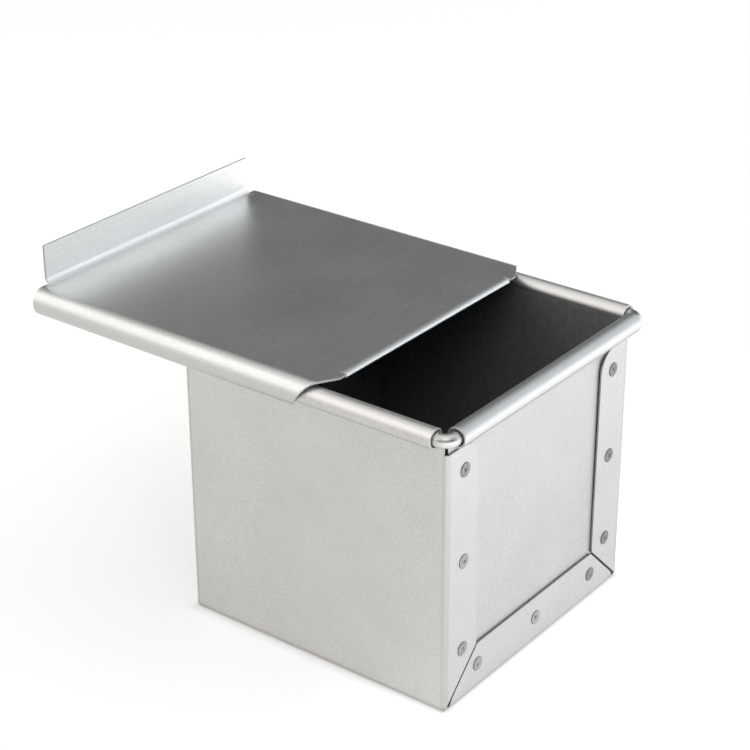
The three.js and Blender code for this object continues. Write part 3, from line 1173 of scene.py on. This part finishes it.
@dataclass
class SlidingLid:
    """The lid: one sheet with a curl down each side, a hem in front and a grip folded up at the rear."""

    roll_y: float
    sheet: float = 0.6
    grip_height: float = 10.8
    grip_bend: float = 1.8
    grip_end_gap: float = 1.9
    curl_wrap: float = 165.0
    curl_tail_gap: float = 0.9
    relief_width: float = 0.3
    relief_depth: float = 0.8
    hem_depth: float = 4.0
    hem_gap: float = 0.1
    hem_nose: float = 1.8
    hem_tip: float = 0.4
    corner_angle: float = 31.0
    corner_flat: float = 5.0
    corner_land: float = 2.3
    notch_width: float = 0.3
    notch_depth: float = 1.9
    front_band: float = 14.0
    edge: float = 0.18
    flat_step: float = 2.0
    length_steps: int = 44
    band_steps: int = 5
    notch_steps: int = 2
    under_steps: int = 2
    grip_steps: int = 8
    curl_steps: int = 30
    bend_steps: int = 8
    flat_ripple: float = 0.06
    coat_edge: float = 0.05
    # Painted shade low down on the curls.
    curl_tone: Triple = (0.57, 0.57, 0.555)
    curl_drop: Span = (-2.0, -3.6)
    # Painted shade on the cut edges round the grip.
    grip_edge_tone: Triple = (0.42, 0.42, 0.41)
    grip_edge_rise: Span = (0.5, 1.5)

    def __post_init__(self) -> None:
        """Reads the lid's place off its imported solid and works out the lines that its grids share."""
        low, high = corners("lid")
        self.grip_x, self.front = low[0], high[0]
        self.grip_top = high[2]
        self.top = self.grip_top - self.grip_height
        self.curl_radius = high[1] - self.roll_y
        self.grip_half = self.roll_y - self.grip_end_gap
        self.corner_y = self.roll_y - self.corner_flat
        self.notch_y = self.corner_y - self.corner_land
        self.hem_half = self.notch_y - self.notch_width
        self.slit_y = self.grip_half + self.relief_width
        self.slit_end = self.grip_x + self.sheet + self.grip_bend + self.relief_depth
        self.band_start = self.front - self.front_band
        self.notch_end = self.front - self.notch_depth
        self.across, self.line = self.section()

    def section(self) -> tuple[Array, Array]:
        """Line across the lid's upper face, from one curl's lip to the other's.

        Returns:
            The length along the line, measured from the lid's middle, and points of Y and Z.
        """
        stops = [0.0, self.hem_half, self.notch_y, self.corner_y, self.grip_half, self.slit_y, self.roll_y]
        counts = [math.ceil((stop - start) / self.flat_step) for start, stop in zip(stops, stops[1:])]
        flat = joined(*(np.linspace(*run) for run in zip(stops, stops[1:], [count + 1 for count in counts])))
        centre = (self.roll_y, self.top - self.curl_radius)
        curl = arc(centre, self.curl_radius, 90, 90 - self.curl_wrap, self.curl_steps)
        half = joined(np.stack([flat, np.full_like(flat, self.top)], axis=1), curl)
        length = np.concatenate([[0], np.cumsum(np.linalg.norm(np.diff(half, axis=0), axis=1))])
        return joined(-length[::-1], length), joined((half * [-1, 1])[::-1], half)

    def strip(self, along: Array, low: float, high: float) -> Patch:
        """The part of the section between two lengths from the middle, carried along X.

        Args:
            along: X at each row, or at each row and each point of the section.
            low: least length from the lid's middle line, with its sign.
            high: greatest length, with its sign.

        Returns:
            The patch.
        """
        chosen = (self.across > low - WELD_GAP) & (self.across < high + WELD_GAP)
        x = along[:, None] if along.ndim == 1 else along[:, chosen]
        return Patch.of(x, *self.line[chosen].T, flipped=True)

    def fold(self, side: Array, half: float) -> Patch:
        """A fold seen from the side, as points of X and Z, carried across the lid's middle part."""
        across = self.across[np.abs(self.across) < half + WELD_GAP]
        return Patch.of(side[:, :1], across, side[:, 1:], flipped=True)

    def middle(self) -> Patch:
        """The lid between its grip and its front band, with a slight unevenness of its flat.

        Returns:
            The patch.
        """
        along = np.linspace(self.slit_end, self.band_start, self.length_steps + 1)
        patch = self.strip(along, self.across[0], self.across[-1])
        u = (patch.points[..., 0] - self.slit_end) / (self.band_start - self.slit_end)
        v = (patch.points[..., 1] + self.roll_y) / (2 * self.roll_y)
        on_flat = np.abs(patch.points[..., 1]) < self.roll_y
        patch.points[..., 2] += np.where(on_flat, ripple(u, v, self.flat_ripple), 0)
        return patch

    def grip(self) -> Patch:
        """The grip: down its front face, round the bend at its foot and on to the lid's flat.

        Returns:
            The patch.
        """
        face_x = self.grip_x + self.sheet
        foot = (face_x + self.grip_bend, self.top + self.grip_bend)
        face = straight((face_x, self.grip_top), (face_x, foot[1]), self.grip_steps)
        bend = arc(foot, self.grip_bend, 180, 270, self.bend_steps)
        flat = straight((foot[0], self.top), (self.slit_end, self.top), 1)
        return self.fold(joined(face, bend, flat), self.grip_half)

    def hem(self) -> Patch:
        """The hem: on along the flat, down a quarter of an ellipse, round its tip and back under.

        Returns:
            The patch.
        """
        fold_x, tip_x = self.front - self.hem_nose, self.front - self.hem_tip
        height = 2 * self.sheet + self.hem_gap
        low = self.top - height
        tip_z = low + self.hem_tip
        band = straight((self.band_start, self.top), (self.notch_end, self.top), self.band_steps)
        lead = straight((self.notch_end, self.top), (fold_x, self.top), self.notch_steps)
        crown = arc((0, 0), 1, 90, 0, self.bend_steps) * [self.hem_nose, height - self.hem_tip]
        tip = arc((tip_x, tip_z), self.hem_tip, 0, -90, self.bend_steps)
        under = straight((tip_x, low), (self.front - self.hem_depth, low), self.under_steps)
        return self.fold(joined(band, lead, crown + [fold_x, tip_z], tip, under), self.hem_half)

    def front_corner(self) -> Array:
        """X at each row and each point of the section, for the strips beside the hem.

        The corner is cut straight across the flat blank before the curl is bent, so the edge falls
        back in step with the length along the section, on the flat and round the curl alike.

        Returns:
            One row per step from the front band's start to the edge.
        """
        slope = math.tan(math.radians(self.corner_angle))
        edge = self.front - slope * np.clip(np.abs(self.across) - self.corner_y, 0, None)
        notch_share = (self.notch_end - self.band_start) / self.front_band
        band = np.linspace(0, notch_share, self.band_steps + 1)
        share = joined(band, np.linspace(notch_share, 1, self.notch_steps + 1))[:, None]
        return self.band_start + share * (edge - self.band_start)[None, :]

    def build(self) -> Piece:
        """Joins the lid's strips and folds into one sheet and gives it its thickness.

        Returns:
            The sheet.
        """
        tail = np.linspace(self.grip_x + self.curl_tail_gap, self.slit_end, 2)
        notch = np.linspace(self.band_start, self.notch_end, self.band_steps + 1)
        end = self.across[-1]
        patches = [self.middle(), self.grip(), self.hem()]
        beside_grip = (tail, self.slit_y, end)
        beside_hem = (notch, self.hem_half, self.notch_y)
        for along, low, high in (beside_grip, beside_hem, (self.front_corner(), self.notch_y, end)):
            patches += [self.strip(along, low, high), self.strip(along, -high, -low)]
        return make_sheet("lid_sheet_metal", patches, self.sheet, self.edge)

    def metal(self) -> Material:
        """Metal of the lid: painted shade low down on the curls, scratched on top and coated underneath.

        The coating lies between the curls, behind the hem and clear of the grip.

        Returns:
            The material.
        """
        low = (self.slit_end, -self.grip_half, self.top - self.curl_radius)
        high = (self.front - self.hem_depth, self.grip_half, self.top - self.sheet / 2)
        return SheetFinish(
            name="lid_satin", pale=(0.89, 0.89, 0.875), deep=(0.77, 0.77, 0.755), roughness=0.41,
            brush=Brush.ALONG_Y, coat=BakedCoat(low, high, ragged_edge=self.coat_edge),
            stains=(Stain(self.curl_tone, z=beside(self.top, self.curl_drop)),),
            streaks=0.6, scratches=0.5, grain=0.9, relief=0.006,
        ).material()

    def sheared_edge(self) -> Material:
        """The lid's cut edges: pale and not metal, a painted highlight, with painted shade round the grip.
        """
        # Pale and not metal: a painted highlight on the lid's cut edges.
        return SteelFinish(
            name="lid_sheared_edge", pale=(0.85, 0.85, 0.83), deep=(0.7, 0.7, 0.68), roughness=0.6,
            stains=(Stain(self.grip_edge_tone, z=beside(self.top, self.grip_edge_rise)),), metal=0.0,
        ).material()

    def dress(self) -> None:
        """Builds the lid and hands it over in its metal, its sheared edges in theirs."""
        hand_over(self.build(), "lid", "lid", "lid_sheet", self.metal(), self.sheared_edge())


@dataclass(frozen=True, kw_only=True)
class SoftBox:
    """A soft studio lamp that looks at the pan, of an even brightness over its width and height."""

    name: str
    place: Triple
    width: float
    height: float
    brightness: float
    colour: Triple

    def hang(self, aim: Vector) -> None:
        """Hangs the lamp, turned to a point; its power is its brightness times its area times pi.

        Args:
            aim: the point.
        """
        data = bpy.data.lights.new(self.name, "AREA")
        data.shape = "RECTANGLE"
        data.size, data.size_y = self.width, self.height
        data.energy = self.brightness * math.pi * self.width * self.height
        data.color = self.colour
        lamp = bpy.data.objects.new(self.name, data)
        place = Vector(self.place)
        turned = (aim - place).to_track_quat("-Z", "Y").to_matrix().to_4x4()
        lamp.matrix_world = Matrix.Translation(place) @ turned
        lamp.visible_camera = False
        bpy.context.scene.collection.objects.link(lamp)


@dataclass
class Studio:
    """Pale floor with painted shadow and light in its glow, soft light and the camera at the photograph's
    angle.

    The lamps are a warm key light on the left, a large cool one behind on the right and a fill in front.
    The sky's pairs are the sine of a height above the horizon and the brightness there. The camera's
    target and distance are in millimetres, and the lamps and the floor in metres.
    """

    azimuth: float = 37.506
    elevation: float = 26.602
    roll: float = -0.273
    focal_pixels: float = 2065.0
    distance: float = 546.8
    target: Triple = (0.0, 0.0, 40.0)
    target_pixel: Span = (409.01, 461.52)
    picture: float = 750.0
    sensor: float = 36.0
    near_clip: float = 0.01
    lamp_aim: Triple = (0.0, 0.0, 0.05)
    lamps: tuple[SoftBox, ...] = (
        SoftBox(
            name="key_left", place=(-0.78, -0.76, 0.7), width=1.6, height=1.0, brightness=1.28,
            colour=(1.0, 0.98, 0.95),
        ),
        SoftBox(
            name="back_right", place=(0.72, 0.98, 0.58), width=2.1, height=1.15, brightness=1.2,
            colour=(0.87, 0.94, 1.0),
        ),
        SoftBox(
            name="fill_front", place=(0.55, -0.75, 1.1), width=1.0, height=0.8, brightness=1.4,
            colour=(1.0, 1.0, 1.0),
        ),
    )
    sky: tuple[Span, ...] = ((0.0, 1.0), (0.14, 0.02), (0.66, 0.02), (0.9, 1.1), (1.0, 1.15))
    floor_size: float = 8.0
    floor_drop: float = 0.00005
    lit_shade: Triple = (0.8, 0.8, 0.8)
    seen_shade: Triple = (0.6, 0.6, 0.6)
    # No floor glow under the pan, and a painted shadow just round its foot.
    foot: Span = (0.036, 0.044)
    # Floor glow: a painted shade before the front end, painted light past it and further along.
    glow_warm: Triple = (0.54, 0.533, 0.52)
    glow_cool: Triple = (0.79, 0.805, 0.815)
    glow_span: Span = (0.0, 0.055)
    glow_far: Triple = (1.5, 1.52, 1.54)
    far_span: Span = (0.09, 0.3)
    glow_edge: Triple = (1.0, 1.0, 1.0)
    edge_span: Span = (0.8, 1.5)

    def camera(self) -> None:
        """Places the camera so that the target lands on its pixel, with no lens shift.

        The camera looks against its own back direction, and stands off to the side by as much as the
        target's pixel is off the picture's middle.
        """
        turn, lift, tilt = (math.radians(angle) for angle in (self.azimuth, self.elevation, self.roll))
        back = Vector((math.sin(turn) * math.cos(lift), -math.cos(turn) * math.cos(lift), math.sin(lift)))
        level = Vector((math.cos(turn), math.sin(turn), 0.0))
        upright = back.cross(level)
        right = level * math.cos(tilt) + upright * math.sin(tilt)
        up = upright * math.cos(tilt) - level * math.sin(tilt)
        scale = self.distance / self.focal_pixels
        aside = (self.target_pixel[0] - self.picture / 2) * scale
        above = -(self.target_pixel[1] - self.picture / 2) * scale
        eye = Vector(self.target) + back * self.distance - right * aside - up * above
        data = bpy.data.cameras.new("camera")
        data.sensor_width = self.sensor
        data.lens = self.focal_pixels / self.picture * self.sensor
        data.clip_start = self.near_clip
        camera = bpy.data.objects.new("camera", data)
        turned = Matrix((right, up, back)).transposed().to_4x4()
        camera.matrix_world = Matrix.Translation(eye * MM) @ turned
        bpy.context.scene.collection.objects.link(camera)
        bpy.context.scene.camera = camera

    def world(self) -> None:
        """Sky that the metal reflects, pale at the horizon and overhead; the camera sees it white."""
        world = bpy.data.worlds.new("studio")
        bpy.context.scene.world = world
        world.use_nodes = True
        nodes, links = world.node_tree.nodes, world.node_tree.links
        nodes.clear()
        axes = nodes.new("ShaderNodeSeparateXYZ")
        links.new(nodes.new("ShaderNodeTexCoord").outputs["Generated"], axes.inputs[0])
        ramp = nodes.new("ShaderNodeValToRGB")
        links.new(axes.outputs["Z"], ramp.inputs["Fac"])
        stops = ramp.color_ramp.elements
        stops[0].color = stops[1].color = WHITE
        for height, grey in self.sky:
            stops.new(height).color = (grey, grey, grey, 1)
        sky = nodes.new("ShaderNodeBackground")
        links.new(ramp.outputs["Color"], sky.inputs["Color"])
        white = nodes.new("ShaderNodeBackground")
        white.inputs["Color"].default_value = WHITE
        mix = nodes.new("ShaderNodeMixShader")
        links.new(nodes.new("ShaderNodeLightPath").outputs["Is Camera Ray"], mix.inputs["Fac"])
        links.new(sky.outputs[0], mix.inputs[1])
        links.new(white.outputs[0], mix.inputs[2])
        links.new(mix.outputs[0], nodes.new("ShaderNodeOutputWorld").inputs["Surface"])

    def glow(self, shader: Shader) -> Socket:
        """Light that the floor gives off: none under the pan and just round its foot, a painted shadow; less
        before the pan's front end, a painted shade; more past it and most far along it, a painted pool of
        light; white far away.

        Args:
            shader: the floor's nodes.

        Returns:
            The glowing surface.
        """
        x, y, _ = shader.axes()
        distance = shader.nodes.new("ShaderNodeVectorMath")
        distance.operation = "LENGTH"
        shader.join(shader.place, distance.inputs[0])
        edge = shader.ranged(distance.outputs["Value"], self.edge_span)
        # Painted shade before the front end, painted light past it and further along.
        colour = shader.mixed(shader.ranged(x, self.glow_span), self.glow_warm, self.glow_cool)
        colour = shader.mixed(edge, colour, self.glow_edge)
        colour = shader.mixed(shader.ranged(x, self.far_span), colour, self.glow_far)
        # A painted shadow: no glow under the pan and little just round its foot.
        clear = [shader.ranged(shader.maths("ABSOLUTE", place), self.foot) for place in (x, y)]
        light = shader.nodes.new("ShaderNodeEmission")
        shader.join(colour, light.inputs["Color"])
        shader.join(shader.maths("MAXIMUM", *clear), light.inputs["Strength"])
        return light.outputs[0]

    def floor(self) -> None:
        """A wide white floor just under the pan that keeps the pan's shadow.

        Seen directly or in the metal it also glows, so that it is white in the light; its glow is shaped to
        paint shadow, shade and light round the pan.
        """
        half = self.floor_size / 2 / MM
        edges = np.array([-half, half])
        surface = Patch.of(edges[:, None], edges, np.array(-self.floor_drop / MM), flipped=True)
        floor = make_piece("floor", [surface])
        shader = Shader("floor_white")
        nodes = shader.nodes
        nodes.remove(shader.surface)
        path = nodes.new("ShaderNodeLightPath")
        seen = path.outputs["Is Camera Ray"]
        for kind in ("Is Glossy Ray", "Is Transmission Ray"):
            seen = shader.maths("MAXIMUM", seen, path.outputs[kind])
        lit, pale = nodes.new("ShaderNodeBsdfDiffuse"), nodes.new("ShaderNodeBsdfDiffuse")
        shader.join(self.lit_shade, lit.inputs["Color"])
        shader.join(self.seen_shade, pale.inputs["Color"])
        shown = nodes.new("ShaderNodeAddShader")
        shader.join(pale.outputs[0], shown.inputs[0])
        shader.join(self.glow(shader), shown.inputs[1])
        mix = nodes.new("ShaderNodeMixShader")
        shader.join(seen, mix.inputs["Fac"])
        shader.join(lit.outputs[0], mix.inputs[1])
        shader.join(shown.outputs[0], mix.inputs[2])
        shader.join(mix.outputs[0], nodes["Material Output"].inputs["Surface"])
        floor.data.materials.append(shader.material)

    def build(self) -> None:
        """Sets up the camera, the light and the floor."""
        self.camera()
        for lamp in self.lamps:
            lamp.hang(Vector(self.lamp_aim))
        self.world()
        self.floor()
        bpy.context.scene.view_settings.view_transform = "Standard"


def rivet_nodes() -> list[tuple[str, End]]:
    """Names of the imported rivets, with the end that each is in.

    Returns:
        The names in order of the alphabet.
    """
    ends = {"front": End.FRONT, "rear": End.REAR}
    names = sorted(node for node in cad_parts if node.startswith("rivet_"))
    return [(name, ends[name.split("_")[1]]) for name in names]


def main() -> None:
    """Builds the pan, the lid and the studio, and reports each piece."""
    logging.basicConfig(level=logging.INFO, format="%(message)s")
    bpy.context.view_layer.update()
    sizes = PanSizes.measured()
    finishes = PanFinishes(sizes)
    cut_edge, panel_metal, rivet_metal = finishes.cut_edge(), finishes.panel(), finishes.rivet()
    BodyShell(sizes).dress(finishes.body(), cut_edge)
    for end in End:
        EndPanel(sizes, end).dress(panel_metal, cut_edge)
    RimWire(sizes).dress(finishes.wire())
    for number, (node, end) in enumerate(rivet_nodes()):
        Rivet(node, end, number).dress(rivet_metal)
    SlidingLid(sizes.roll_y).dress()
    Studio().build()


if __name__ == "__main__":
    main()
